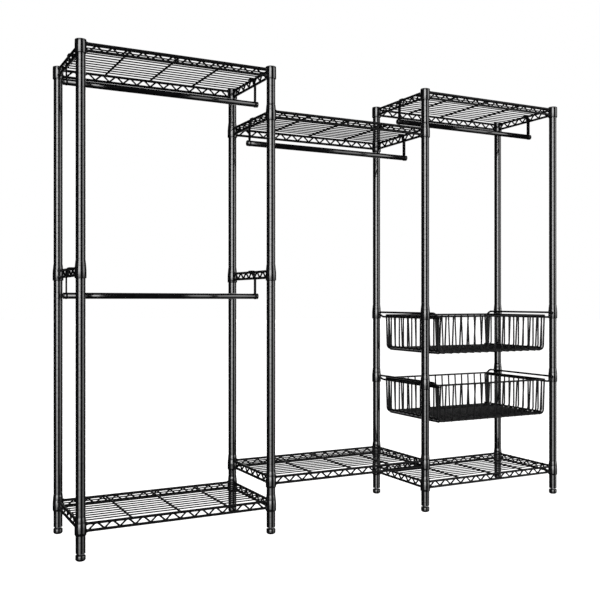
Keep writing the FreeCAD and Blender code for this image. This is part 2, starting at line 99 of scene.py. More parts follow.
# Small distances that several pieces share, in metres
EDGE = 0.0004  # a tube's broken edge
FIT = 0.0001  # play round a piece that is pushed into another
BEVEL = 0.0006  # a bevelled edge of a sleeve or a nut
NEAR = 0.00002  # corners that are closer than this are one
RAIL_BITE = 0.0016  # how far a rail runs into its collar
WIRE_BITE = 0.0003  # how far two welded wires sink into each other
CAP_SKIRT = 0.0078  # height of a post cap's skirt
CAP_LIP = 0.0005  # how far a rod's cap stands out round the rod
RAIL_INSET = 0.0145  # from the outer side of a rod's hooks to the middle of a shelf's rail

# An edge is drawn sharp from this angle between its faces; grooves and strips take the finer one
SHARP = math.radians(62)
FINE = math.radians(30)
TUCK = math.radians(25)  # how far round the uprights' bends the bars under a basket lie
SLEEVE_SLIT = math.radians(4)

# The studio, in metres and degrees
FAR = 40  # radius of the floor, and distance of the reflectors
REFLECTORS = (  # name, direction, half of the width, brightness
    ("left_reflector", -38, 20, 5.4),
    ("right_reflector", 50, 19, 2.0),
    ("back_reflector", 153, 16, 1.3),
)
REFLECTOR_HEIGHTS = (-24, 26)
FADE = (-14, 6.5)  # the heights between which a reflector gains its full brightness
FADED = (0.33, 0.33, 0.33)
LAMP_PLACE, LAMP_AIM = Vector((0.2, 0.4, 4.2)), Vector((0, 0, 1))
LAMP_SIZE, LAMP_POWER = (3.0, 2.0), 60
CAMERA_PLACE = (-1.9174, -3.394, 0.9862)
CAMERA_TURN = (QUARTER + 0.0011, 0, -0.4797)
CAMERA_LENS = 49.87


def length(name, description, default):
    """A size that the user may change, in metres."""
    return FloatProperty(name=name, description=description, default=default, min=0,
                         unit="LENGTH", precision=4)


def colour(name, description, default):
    """A finish colour that the user may change."""
    return FloatVectorProperty(name=name, description=description, default=default, size=3,
                               min=0, max=1, subtype="COLOR")


def share(name, description, default):
    """A share between none and all."""
    return FloatProperty(name=name, description=description, default=default, min=0, max=1,
                         subtype="FACTOR")


def count(name, description, default):
    """A number of like pieces."""
    return IntProperty(name=name, description=description, default=default, min=1)


class PostSizes(PropertyGroup):
    """Sizes of the grooved posts, their caps and their feet."""

    diameter: length("Diameter", "Outer diameter of a post", 0.0374)
    wall: length("Wall", "Wall of the post's tube", 0.0012)
    first_groove: length("First groove", "Height of the lowest groove", 0.047)
    groove_pitch: length("Groove pitch", "Distance from groove to groove", 0.025)
    groove_width: length("Groove width", "Width of a rolled groove", 0.0022)
    groove_depth: length("Groove depth", "Depth of a rolled groove", 0.0007)
    stud_diameter: length("Stud", "Outer diameter of the foot's threaded stud", 0.01)
    thread_pitch: length("Thread pitch", "Distance between two turns of the thread", 0.0015)


class ShelfSizes(PropertyGroup):
    """Sizes of the wire shelves, the side ladders and their collars."""

    collar_diameter: length("Collar", "Outer diameter of a corner collar", 0.045)
    collar_height: length("Collar height", "Height of a corner collar", 0.046)
    lower_rail: length("Lower rail", "Height of the lower rail above the collar's foot", 0.014)
    upper_rail: length("Upper rail", "Height of the upper rail above the collar's foot", 0.0412)
    collar_straight: length("Straight part", "Height of a collar's straight part", 0.034)
    low_bore: length("Bore at the foot", "Inner radius of a collar's foot", 0.0203)
    high_bore: length("Bore at the top", "Inner radius of a collar's top", 0.0195)
    sleeve_waist: length("Sleeve waist", "Outer radius of a sleeve inside the collar's top", 0.0193)
    sleeve_height: length("Sleeve height", "Height of a sleeve above the collar's foot", 0.068)
    rail_wire: length("Rail wire", "Diameter of a rail", 0.0114)
    web_wire: length("Web wire", "Diameter of the zigzag wire", 0.0076)
    web_inset: length("Web inset", "Distance of the zigzag wire's ends from the collars", 0.01)
    deck_wire: length("Deck wire", "Diameter of a deck wire", 0.0056)
    deck_proud: length("Deck lift", "How far a deck wire stands above the rails", 0.0015)
    cross_wire: length("Cross wire", "Diameter of a cross wire", 0.0088)
    deck_wires: count("Deck wires", "Wires of a deck", 11)
    cross_wires: count("Cross wires", "Cross wires under a deck", 3)
    long_periods: count("Long web", "Periods of a long side's zigzag wire", 12)
    short_periods: count("Short web", "Periods of a short side's zigzag wire", 6)
    web_bend: length("Web bend", "Radius of a bend of the zigzag wire", 0.004)


class RodSizes(PropertyGroup):
    """Sizes of the hanging rods and their hooks."""

    diameter: length("Diameter", "Outer diameter of a rod", 0.025)
    wall: length("Wall", "Wall of the rod's tube", 0.0012)
    band: length("Band", "Thickness of the band that holds a hook on the rod", 0.0011)
    hook_width: length("Hook width", "Width of a hook's strip", 0.022)
    hook_strip: length("Hook strip", "Thickness of a hook's strip", 0.0024)
    hook_bend: length("Hook bend", "Radius of a hook's bends", 0.0032)
    step_foot: length("Step foot", "How far below its top a hook starts to step inward", 0.034)
    step_head: length("Step head", "How far below its top a hook ends its step", 0.02)
    lip: length("Lip", "Height of the lip behind the rail", 0.0128)


class BasketSizes(PropertyGroup):
    """Sizes of the baskets and of the runners that carry them."""

    loop_wire: length("Runner wire", "Diameter of a runner's wire", 0.01)
    loop_top: length("Runner top", "Height of a runner's upper run above the collar's foot", 0.031)
    loop_low: length("Runner low", "Height of a runner's lower run above the collar's foot", 0.0075)
    loop_reach: length("Runner reach", "From the post's middle to a runner's lower run", 0.0585)
    loop_bend: length("Runner bend", "Radius of a runner's bends", 0.009)
    frame_wire: length("Frame wire", "Diameter of the rim and the frames", 0.009)
    wall_wire: length("Wall wire", "Diameter of a wall's wires", 0.008)
    mesh_wire: length("Mesh wire", "Diameter of the bottom's fine wires", 0.0037)
    corner: length("Corner", "Radius of the rim's corners", 0.018)
    corner_gap: length("Corner gap", "Distance of the outermost upright wires from a corner", 0.012)
    foot_bend: length("Foot bend", "Radius of the bend from a side into the bottom", 0.02)
    front_bend: length("Front bend", "Radius of the bend from the front into the bottom", 0.006)
    height: length("Height", "From the bottom frame to the rim", 0.172)
    side_lean: length("Side lean", "How far a side leans inward towards the bottom", 0.008)
    front_lean: length("Front lean", "How far the front leans inward towards the bottom", 0.01)
    front_wires: count("Front wires", "Upright wires of the front", 14)
    side_wires: count("Side wires", "Upright wires of a side", 11)
    mesh_pitch: length("Mesh pitch", "Distance between the bottom's fine wires", 0.0125)


class Finishes(PropertyGroup):
    """Colours and gloss of the finishes."""

    steel: colour("Coated steel", "Black coating of the steel", (0.004, 0.004, 0.0044))
    # Both greys of the fine wires are painted sheen, far lighter than the black coating; the second
    # grey adds dust to that painted sheen
    fine_wire_painted_sheen: colour("Fine wire", "Coating of the baskets' fine wires", (0.22, 0.22, 0.225))
    dusty_wire_painted_sheen: colour("Dusty wire", "Dusty coating of the baskets' fine wires", (0.3, 0.3, 0.305))
    plastic: colour("Plastic", "Black plastic of sleeves, caps and feet", (0.006, 0.006, 0.0064))
    zinc: colour("Zinc", "Plated steel of studs and nuts", (0.52, 0.53, 0.55))
    steel_roughness: share("Coating roughness", "Roughness of the coated steel", 0.09)
    wire_roughness: share("Wire roughness", "Roughness of the coated wires", 0.3)
    plastic_roughness: share("Plastic roughness", "Roughness of the black plastic", 0.1)
    zinc_roughness: share("Zinc roughness", "Roughness of the plated steel", 0.3)
    floor: colour("Floor", "Pale studio floor", (0.86, 0.86, 0.86))


class ClosetSettings(PropertyGroup):
    """All the settings of the closet organizer."""

    post: PointerProperty(type=PostSizes)
    shelf: PointerProperty(type=ShelfSizes)
    rod: PointerProperty(type=RodSizes)
    basket: PointerProperty(type=BasketSizes)
    finish: PointerProperty(type=Finishes)


def settings():
    """The settings of the closet organizer."""
    return bpy.context.scene.closet


# Materials
class Value:
    """A shader socket that can be used in sums."""

    def __init__(self, shader, socket):
        self.shader = shader
        self.socket = socket

    def sum(self, operation, *others):
        """The result of a maths node on this value and others."""
        return self.shader.node("ShaderNodeMath", {"operation": operation}, [self, *others])

    def __add__(self, other):
        return self.sum("ADD", other)

    __radd__ = __add__

    def __sub__(self, other):
        return self.sum("SUBTRACT", other)

    def __rsub__(self, other):
        return self.shader.node("ShaderNodeMath", {"operation": "SUBTRACT"}, [other, self])

    def __mul__(self, other):
        return self.sum("MULTIPLY", other)

    __rmul__ = __mul__

    def clamped(self, low, high):
        """This value, eased from 0 at low to 1 at high."""
        return self.shader.node("ShaderNodeMapRange", {"interpolation_type": "SMOOTHSTEP"},
                                {"Value": self, "From Min": low, "From Max": high})


class Shader:
    """A node material under construction."""

    def __init__(self, name):
        self.material = bpy.data.materials.new(name)
        self.material.use_nodes = True
        self.tree = self.material.node_tree
        self.surface = self.tree.nodes["Principled BSDF"]

    def node(self, kind, choices=None, sockets=None, output=0):
        """A node of this kind, with its choices, and the values or links of its sockets."""
        made = self.tree.nodes.new(kind)
        for name, choice in (choices or {}).items():
            setattr(made, name, choice)
        pairs = sockets.items() if isinstance(sockets, dict) else enumerate(sockets or ())
        for key, content in pairs:
            self.feed(made.inputs[key], content)
        return Value(self, made.outputs[output])

    def feed(self, socket, content):
        """Give a socket a value or a link."""
        if isinstance(content, Value):
            self.tree.links.new(content.socket, socket)
        else:
            socket.default_value = content

    def set(self, **sockets):
        """Give sockets of the surface their values or links."""
        for name, content in sockets.items():
            self.feed(self.surface.inputs[name.replace("_", " ")], content)

    def noise(self, scale, detail=2, stretch=(1, 1, 1)):
        """Noise on object coordinates, in cycles to the metre."""
        place = self.node("ShaderNodeTexCoord", output=3)
        mapped = self.node("ShaderNodeMapping", {}, {"Vector": place, "Scale": stretch})
        return self.node("ShaderNodeTexNoise", {},
                         {"Vector": mapped, "Scale": scale, "Detail": detail})

    def blend(self, share_of_second, first, second):
        """A colour between two others."""
        return self.node("ShaderNodeMix", {"data_type": "RGBA"},
                         {0: share_of_second, 6: (*first, 1), 7: (*second, 1)}, output=2)

    def bump(self, height, strength, distance):
        """A bumped normal."""
        return self.node("ShaderNodeBump", {},
                         {"Height": height, "Strength": strength, "Distance": distance})


def lighter(base, factor):
    """A colour whose parts are scaled by a factor."""
    return tuple(min(1, part * factor) for part in base)


PEEL_BUMP = (0.08, 0.0002)  # strength and depth of the coating's orange peel


def coated_steel():
    """Black epoxy coating: fine orange peel, slight clouding and dust on the coating."""
    finish = settings().finish
    shader = Shader("coated_steel")
    peel = shader.noise(520, 3)
    cloud = shader.noise(26, 4)
    dust = shader.noise(1400, 1).clamped(0.68, 0.78)
    shader.set(Base_Color=shader.blend(cloud.clamped(0.3, 0.75) * 0.7 + dust * 0.3, finish.steel,
                                       lighter(finish.steel, 2.4)),
               Roughness=finish.steel_roughness + cloud * 0.05 + dust * 0.1,
               Normal=shader.bump(peel, *PEEL_BUMP),
               Specular_IOR_Level=0.75,
               Coat_Roughness=0.08,
               Coat_Weight=0.7 + cloud * 0.3)
    return shader.material


def coated_wire():
    """The same black coating on thin wires, where it lies thicker and softer."""
    finish = settings().finish
    shader = Shader("coated_wire")
    peel = shader.noise(700, 3)
    cloud = shader.noise(60, 3)
    shader.set(Base_Color=shader.blend(cloud.clamped(0.3, 0.75), finish.steel,
                                       lighter(finish.steel, 2)),
               Roughness=finish.wire_roughness + cloud * 0.08,
               Normal=shader.bump(peel, *PEEL_BUMP),
               Specular_IOR_Level=0.22)
    return shader.material


def fine_wire_painted_sheen():
    """The coating on the fine wires of the baskets' bottoms, dulled by dust, over a grey base
    colour that is painted sheen.
    """
    finish = settings().finish
    shader = Shader("fine_wire_painted_sheen")
    peel = shader.noise(700, 3)
    dust = shader.noise(90, 3).clamped(0.3, 0.8)
    # Painted sheen: the grey base colour stands in for the fine wires' highlights, and is lighter
    # where the noise lays dust
    shader.set(Base_Color=shader.blend(dust, finish.fine_wire_painted_sheen, finish.dusty_wire_painted_sheen),
               Roughness=0.5 + dust * 0.1,
               Normal=shader.bump(peel, *PEEL_BUMP),
               Specular_IOR_Level=0.3)
    return shader.material


def moulded_plastic():
    """Moulded black plastic with a fine grain."""
    finish = settings().finish
    shader = Shader("moulded_plastic")
    grain = shader.noise(900, 2)
    cloud = shader.noise(40, 3)
    shader.set(Base_Color=shader.blend(cloud.clamped(0.35, 0.7), finish.plastic,
                                       lighter(finish.plastic, 1.7)),
               Roughness=finish.plastic_roughness + grain * 0.05,
               Specular_IOR_Level=0.75,
               Coat_Roughness=0.1,
               Coat_Weight=0.5 + cloud * 0.3,
               Normal=shader.bump(grain, 0.06, 0.0001))
    return shader.material


def plated_steel():
    """Zinc-plated steel: brushed streaks and dull spots."""
    finish = settings().finish
    shader = Shader("plated_steel")
    streaks = shader.noise(900, 3, (1, 1, 6))
    spots = shader.noise(160, 3).clamped(0.5, 0.72)
    shader.set(Base_Color=shader.blend(spots, finish.zinc, lighter(finish.zinc, 0.72)),
               Metallic=1 - spots * 0.08,
               Roughness=finish.zinc_roughness + streaks * 0.14 + spots * 0.12,
               Normal=shader.bump(streaks, 0.2, 0.0002))
    return shader.material


def floor_paper():
    """Pale seamless studio paper."""
    shader = Shader("floor_paper")
    fibre = shader.noise(300, 3)
    pale = settings().finish.floor
    shader.set(Base_Color=shader.blend(fibre, pale, lighter(pale, 0.985)),
               Roughness=0.75 + fibre * 0.1,
               Emission_Color=(1, 1, 1, 1), Emission_Strength=0.95, Specular_IOR_Level=0)
    return shader.material


def glow(name, strength):
    """The bright cloth of a reflector, which fades towards its foot."""
    shader = Shader(name)
    place = shader.node("ShaderNodeTexCoord", output=3)
    height = shader.node("ShaderNodeSeparateXYZ", {}, [place], output=2)
    shader.set(Base_Color=(0, 0, 0, 1), Specular_IOR_Level=0, Emission_Strength=strength,
               Emission_Color=shader.blend(height.clamped(*FADE), FADED, (1, 1, 1)))
    return shader.material


MAKERS = {maker.__name__: maker for maker in (coated_steel, coated_wire, fine_wire_painted_sheen, moulded_plastic,
                                              plated_steel, floor_paper)}


def finish_named(name):
    """The material of this name, made when it is first asked for."""
    return bpy.data.materials.get(name) or MAKERS[name]()


# Mesh helpers
def centre(node):
    """The middle of a CAD node's box."""
    low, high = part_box(node)
    return (low + high) / 2


def at(x=0, y=0, z=0):
    """A shift."""
    return Matrix.Translation((x, y, z))


def turned(angle, axis):
    """A turn about an axis through the origin."""
    return Matrix.Rotation(angle, 4, axis)


def facing(direction):
    """The turn that takes Z to a direction."""
    return Z_AXIS.rotation_difference(direction).to_matrix().to_4x4()


def move(bm, matrix):
    """Move a mesh."""
    bmesh.ops.transform(bm, matrix=matrix, verts=bm.verts)


def rod_between(bm, start, end, diameter, sides=12):
    """A straight round wire."""
    run = end - start
    bmesh.ops.create_cone(bm, cap_ends=True, segments=sides, radius1=diameter / 2,
                          radius2=diameter / 2, depth=run.length,
                          matrix=at(*((start + end) / 2)) @ facing(run))


def only(kind, parts):
    """The corners or the edges among parts of a mesh."""
    return [part for part in parts if isinstance(part, kind)]


class BentWire:
    """A wire of one section that is led along straight runs and bends."""

    def __init__(self, bm, start, direction, section, sides):
        self.bm = bm
        self.place = start.copy()
        self.direction = direction.normalized()
        ring = bmesh.ops.create_circle(bm, segments=sides, radius=1,
                                       matrix=at(*start) @ facing(self.direction) @ section)
        self.ring = list({edge for vert in ring["verts"] for edge in vert.link_edges})
        self.first = self.ring

    def run(self, distance):
        """Go straight on."""
        made = bmesh.ops.extrude_edge_only(self.bm, edges=self.ring)["geom"]
        verts = set(only(BMVert, made))
        bmesh.ops.translate(self.bm, vec=self.direction * distance, verts=list(verts))
        self.ring = [edge for edge in only(BMEdge, made) if verts.issuperset(edge.verts)]
        self.place += self.direction * distance

    def bend(self, target, radius, steps):
        """Bend towards another direction."""
        angle = self.direction.angle(target)
        axis = self.direction.cross(target).normalized()
        inward = axis.cross(self.direction).normalized()
        middle = self.place + inward * radius
        ring = {vert for edge in self.ring for vert in edge.verts}
        made = bmesh.ops.spin(self.bm, geom=[*ring, *self.ring], cent=middle, axis=axis,
                              dvec=(0, 0, 0), angle=angle, steps=steps, use_merge=False)
        self.ring = only(BMEdge, made["geom_last"])
        turn = Matrix.Rotation(angle, 4, axis)
        self.place = middle + turn @ (self.place - middle)
        self.direction = target.normalized()

    def capped(self):
        """Close both ends."""
        for ring in (self.first, self.ring):
            bmesh.ops.contextual_create(self.bm, geom=ring)


def round_section(diameter):
    """The section of a round wire."""
    return Matrix.Diagonal((diameter / 2, diameter / 2, 1, 1))


def strip_section(thickness, width):
    """The section of a flat strip, for a circle of four corners."""
    flat = Matrix.Diagonal((thickness, width, 1, 1))
    return flat @ turned(QUARTER / 2, Z_AXIS) @ round_section(math.sqrt(2))


def bent_wire(bm, points, section, bend, sides=8, steps=3, closed=False):
    """A wire along straight runs between points, with rounded bends at the points between them."""
    corners = list(points)
    if closed:
        corners = [(points[0] + points[-1]) / 2, *points, (points[0] + points[-1]) / 2]
    wire = BentWire(bm, corners[0], corners[1] - corners[0], section, sides)
    spent = 0
    for before, corner, after in zip(corners, corners[1:], corners[2:]):
        arriving = corner - before
        leaving = after - corner
        setback = bend * math.tan(arriving.angle(leaving) / 2)
        wire.run(arriving.length - spent - setback)
        wire.bend(leaving, bend, steps)
        spent = setback
    wire.run((corners[-1] - corners[-2]).length - spent)
    if closed:
        ends = {vert for edge in wire.first + wire.ring for vert in edge.verts}
        bmesh.ops.remove_doubles(bm, verts=list(ends), dist=NEAR)
    else:
        wire.capped()


def lathe(bm, profile, sides=32, slit=0):
    """A turned ring about the Z axis from a closed profile of radii and heights, perhaps slit."""
    verts = [bm.verts.new((radius, 0, height)) for radius, height in profile]
    edges = [bm.edges.new(pair) for pair in zip(verts, verts[1:] + verts[:1])]
    made = bmesh.ops.spin(bm, geom=verts + edges, cent=(0, 0, 0), axis=Z_AXIS, dvec=(0, 0, 0),
                          angle=2 * math.pi - slit, steps=sides, use_merge=not slit)
    if slit:
        bmesh.ops.contextual_create(bm, geom=edges)
        bmesh.ops.contextual_create(bm, geom=only(BMEdge, made["geom_last"]))


def tube(bm, inner, outer, bottom, top, edge=EDGE, grooves=()):
    """A tube about the Z axis with broken outer edges, and the profile of its grooves."""
    lathe(bm, [(inner, bottom), (outer - edge, bottom), (outer, bottom + edge), *grooves,
               (outer, top - edge), (outer - edge, top), (inner, top)])


def turned_solid(bm, profile, sides=32):
    """A turned solid about the Z axis, from a profile that a pole closes at each end."""
    points = [(0, profile[0][1]), *profile, (0, profile[-1][1])]
    verts = [bm.verts.new((radius, 0, height)) for radius, height in points]
    edges = [bm.edges.new(pair) for pair in zip(verts, verts[1:])]
    bmesh.ops.spin(bm, geom=verts + edges, cent=(0, 0, 0), axis=Z_AXIS, dvec=(0, 0, 0),
                   angle=2 * math.pi, steps=sides, use_merge=True)
    poles = [vert for vert in bm.verts if vert.co.xy.length < NEAR]
    bmesh.ops.remove_doubles(bm, verts=poles, dist=NEAR)


def copies(bm, source, matrices):
    """Copies of a finished small mesh, each placed by a matrix."""
    for matrix in matrices:
        mesh = bpy.data.meshes.new("copied_shape")
        source.to_mesh(mesh)
        mesh.transform(matrix)
        bm.from_mesh(mesh)
        bpy.data.meshes.remove(mesh)


def body_of(node):
    """The body that a CAD node rides on."""
    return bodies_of(frame["nodes"][node])[0]


def finish_piece(bm, name, finishes, *nodes, sharp=SHARP):
    """Make an object of a mesh, shade it, and let it stand for CAD nodes on their body."""
    body = body_of(nodes[0])
    bmesh.ops.recalc_face_normals(bm, faces=bm.faces)
    for face in bm.faces:
        face.smooth = True
    for edge in bm.edges:
        edge.smooth = len(edge.link_faces) == 2 and edge.calc_face_angle() < sharp
    mesh = bpy.data.meshes.new(name)
    bm.to_mesh(mesh)
    bm.free()
    piece = bpy.data.objects.new(name, mesh)
    bpy.context.collection.objects.link(piece)
    for finish in finishes:
        mesh.materials.append(finish_named(finish))
    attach(piece, body)
    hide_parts(*nodes)


# Collars, sleeves and webs
def collar_shape(narrows=True):
    """A corner collar: a steel ring that narrows to its top, or stays straight under a cap."""
    sizes = settings().shelf
    outer = sizes.collar_diameter / 2
    height = sizes.collar_height
    straight = sizes.collar_straight if narrows else height - 0.001
    top = cone_radius(height) if narrows else outer - BEVEL
    profile = [(sizes.low_bore, 0.0005), (outer - 0.0022, 0), (outer - 0.0007, 0.0007),
               (outer, 0.0022), (outer, straight - 0.002), (outer - 0.0002, straight),
               (top + 0.0003, height - 0.0012), (top, height), (sizes.high_bore, height)]
    shape = bmesh.new()
    lathe(shape, profile)
    for face in shape.faces:
        face.material_index = 1
    return shape


def cone_radius(height):
    """How far the narrowing part of a collar and of its sleeve lies from the post's middle."""
    sizes = settings().shelf
    slim = settings().post.diameter / 2 + BEVEL
    part = (height - sizes.collar_straight) / (sizes.sleeve_height - sizes.collar_straight)
    return sizes.collar_diameter / 2 + (slim - sizes.collar_diameter / 2) * part


def sleeve_shape(stands=True):
    """A clip-on sleeve: a slit and tapered plastic ring that may stand above its collar."""
    sizes = settings().shelf
    top = sizes.collar_height - BEVEL
    bore = settings().post.diameter / 2 + FIT
    profile = [(bore, BEVEL), (bore + BEVEL, 0), (sizes.low_bore, BEVEL),
               (sizes.sleeve_waist, top)]
    if stands:
        seat = sizes.collar_height + EDGE
        top = sizes.sleeve_height
        profile += [(sizes.sleeve_waist, seat), (cone_radius(seat) - 0.0003, seat),
                    (cone_radius(seat + 0.001), seat + 0.001), (cone_radius(top), top - BEVEL),
                    (cone_radius(top) - 0.0002, top)]
    profile.append((bore, top))
    shape = bmesh.new()
    lathe(shape, profile, 36, slit=SLEEVE_SLIT)
    return shape


def web(bm, middle, along, inward, span, periods):
    """The zigzag wire on the inner side of two rails."""
    sizes = settings().shelf
    offset = (sizes.rail_wire + sizes.web_wire) / 2
    low, high = sizes.lower_rail, sizes.upper_rail
    points = []
    for turn in range(2 * periods + 1):
        height = high if turn % 2 else low
        along_side = along * span * (turn / (2 * periods) - 0.5)
        points.append(middle + along_side + inward * offset + Z_AXIS * height)
    bent_wire(bm, points, round_section(sizes.web_wire), sizes.web_bend)


def truss(bm, middle, along, inward, span, periods):
    """A side of a shelf: two rails between two collars, and the zigzag wire behind them."""
    sizes = settings().shelf
    half = along * span / 2
    reach = half + along * RAIL_BITE
    for height in (sizes.lower_rail, sizes.upper_rail):
        level = middle + Z_AXIS * height
        rod_between(bm, level - reach, level + reach, sizes.rail_wire)
        for sign in (-1, 1):
            weld(bm, level + half * sign, -along * sign, sizes.rail_wire)
    web(bm, middle, along, inward, span - 2 * sizes.web_inset, periods)


def weld(bm, place, outward, diameter):
    """A small weld bead where a wire meets a collar."""
    foot, tip, height = diameter * 0.72, diameter * 0.5, diameter * 0.5
    bmesh.ops.create_cone(bm, cap_ends=True, segments=12, radius1=foot, radius2=tip, depth=height,
                          matrix=at(*(place + outward * height / 2)) @ facing(outward))


def bay_of(node):
    """A shelf's middle, and its width and depth between the posts' middles."""
    sizes = settings().shelf
    low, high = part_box(node)
    middle = (low + high) / 2
    middle.z = low.z
    return middle, high.x - low.x - sizes.collar_diameter, high.y - low.y - sizes.collar_diameter


def collar_spots(middle, width, depth):
    """The places of a shelf's four collars."""
    return [at(*middle) @ at(width / 2 * across, depth / 2 * along)
            for across in (-1, 1) for along in (-1, 1)]


def post_spots(posts=POSTS, height=0):
    """The places of posts, at a height."""
    return [at(centre(name).x, centre(name).y, height) for name in posts]


def pair_spots(name):
    """The places of the two collars of a ladder or a runner."""
    return post_spots(POSTS[PAIR_OF[name]::BAYS + 1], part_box(name)[0].z)


# Operators
class CLOSET_OT_posts(Operator):
    """Make the eight grooved posts and their caps"""

    bl_idname = "closet.posts"
    bl_label = "Posts"

    def execute(self, context):
        sizes = context.scene.closet.post
        for name, spot in zip(POSTS, post_spots()):
            low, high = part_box(name)
            bm = bmesh.new()
            self.grooved_tube(bm, sizes, low.z, high.z)
            move(bm, spot)
            finish_piece(bm, f"grooved_{name}", ("coated_steel",), name, sharp=FINE)
        self.caps(sizes)
        return {"FINISHED"}

    def grooved_tube(self, bm, sizes, bottom, top):
        """A tube with rolled grooves, from its bottom to its top."""
        outer = sizes.diameter / 2
        grooves = []
        height = sizes.first_groove
        while height < top - sizes.groove_width:
            grooves += [(outer - sizes.groove_depth * deep, height + sizes.groove_width * part)
                        for deep, part in ((0, -0.5), (1, -0.25), (1, 0.25), (0, 0.5))]
            height += sizes.groove_pitch
        tube(bm, outer - sizes.wall, outer, bottom, top, grooves=grooves)

    def caps(self, sizes):
        """The domed caps that close the posts."""
        low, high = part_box("post_caps")
        plug = sizes.diameter / 2 - sizes.wall - FIT
        post_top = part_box(POSTS[0])[1].z
        recess = sizes.diameter / 2 + 2 * FIT
        skirt = settings().shelf.collar_diameter / 2 - 3 * FIT
        seat = high.z - CAP_SKIRT
        shape = bmesh.new()
        turned_solid(shape, [(plug - 0.001, low.z), (plug, low.z + 0.001), (plug, post_top),
                             (recess, post_top), (recess, seat), (skirt, seat),
                             (skirt, high.z - 0.0024), (skirt - 0.0008, high.z - 0.001),
                             (skirt - 0.0028, high.z - 0.0003), (skirt - 0.009, high.z)])
        bm = bmesh.new()
        copies(bm, shape, post_spots())
        finish_piece(bm, "domed_post_caps", ("moulded_plastic",), "post_caps")


class CLOSET_OT_feet(Operator):
    """Make the levelling feet, their threaded studs, the lock nuts and the inserts"""

    bl_idname = "closet.feet"
    bl_label = "Feet"

    def execute(self, context):
        sizes = context.scene.closet.post
        for name, spot in zip(POSTS, post_spots()):
            foot = name.replace("post", "foot")
            stud = name.replace("post", "stud")
            low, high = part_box(foot)
            bm = bmesh.new()
            self.foot(bm, (high.x - low.x) / 2, low.z, high.z)
            move(bm, spot)
            finish_piece(bm, f"moulded_{foot}", ("moulded_plastic",), foot)
            bm = bmesh.new()
            self.thread(bm, sizes, *(corner.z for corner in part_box(stud)))
            move(bm, spot)
            finish_piece(bm, f"threaded_{stud}", ("plated_steel",), stud)
        self.nuts(sizes)
        self.inserts(sizes)
        return {"FINISHED"}

    def foot(self, bm, radius, bottom, top):
        """A moulded foot: a plain drum with a chamfered sole and a rounded shoulder."""
        turned_solid(bm, [(radius - 0.0075, bottom), (radius - 0.005, bottom + 0.0003),
                          (radius - 0.0012, bottom + 0.0038), (radius, bottom + 0.0062),
                          (radius, top - 0.0045), (radius - 0.0008, top - 0.0022),
                          (radius - 0.0032, top - 0.0006), (radius - 0.006, top)])

    def thread(self, bm, sizes, bottom, top):
        """A threaded stud."""
        crest = sizes.stud_diameter / 2
        root = crest - sizes.thread_pitch * 0.5
        points = [(root, bottom)]
        height = bottom
        while height < top - sizes.thread_pitch:
            points += [(radius, height + sizes.thread_pitch * part) for radius, part
                       in ((root, 0.1), (crest, 0.45), (crest, 0.6), (root, 0.95))]
            height += sizes.thread_pitch
        points.append((root, top))
        turned_solid(bm, points, 16)

    def nuts(self, sizes):
        """The lock nuts between feet and posts."""
        low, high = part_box("lock_nuts")
        flat = centre("front_post_1").x - low.x
        bore = sizes.stud_diameter / 2 + FIT
        shape = bmesh.new()
        bmesh.ops.create_circle(shape, segments=6, radius=flat / math.cos(math.pi / 6),
                                matrix=at(0, 0, low.z) @ turned(math.pi / 6, Z_AXIS))
        bmesh.ops.create_circle(shape, segments=24, radius=bore, matrix=at(0, 0, low.z))
        bmesh.ops.bridge_loops(shape, edges=list(shape.edges))
        lid = bmesh.ops.extrude_face_region(shape, geom=list(shape.faces))["geom"]
        bmesh.ops.translate(shape, vec=(0, 0, high.z - low.z), verts=only(BMVert, lid))
        outer = [edge for edge in shape.edges
                 if min(vert.co.xy.length for vert in edge.verts) > bore * 1.5]
        bmesh.ops.bevel(shape, geom=outer, offset=BEVEL, affect="EDGES", segments=2,
                        profile=0.5, material=-1)
        bm = bmesh.new()
        copies(bm, shape, post_spots())
        finish_piece(bm, "plated_lock_nuts", ("plated_steel",), "lock_nuts")

    def inserts(self, sizes):
        """The threaded inserts in the lower ends of the posts."""
        low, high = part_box("foot_inserts")
        outer = sizes.diameter / 2 - sizes.wall - FIT
        bore = sizes.stud_diameter / 2 + FIT
        shape = bmesh.new()
        lathe(shape, [(bore, low.z), (outer, low.z), (outer, high.z), (bore, high.z)])
        bm = bmesh.new()
        copies(bm, shape, post_spots())
        finish_piece(bm, "threaded_inserts", ("plated_steel",), "foot_inserts")


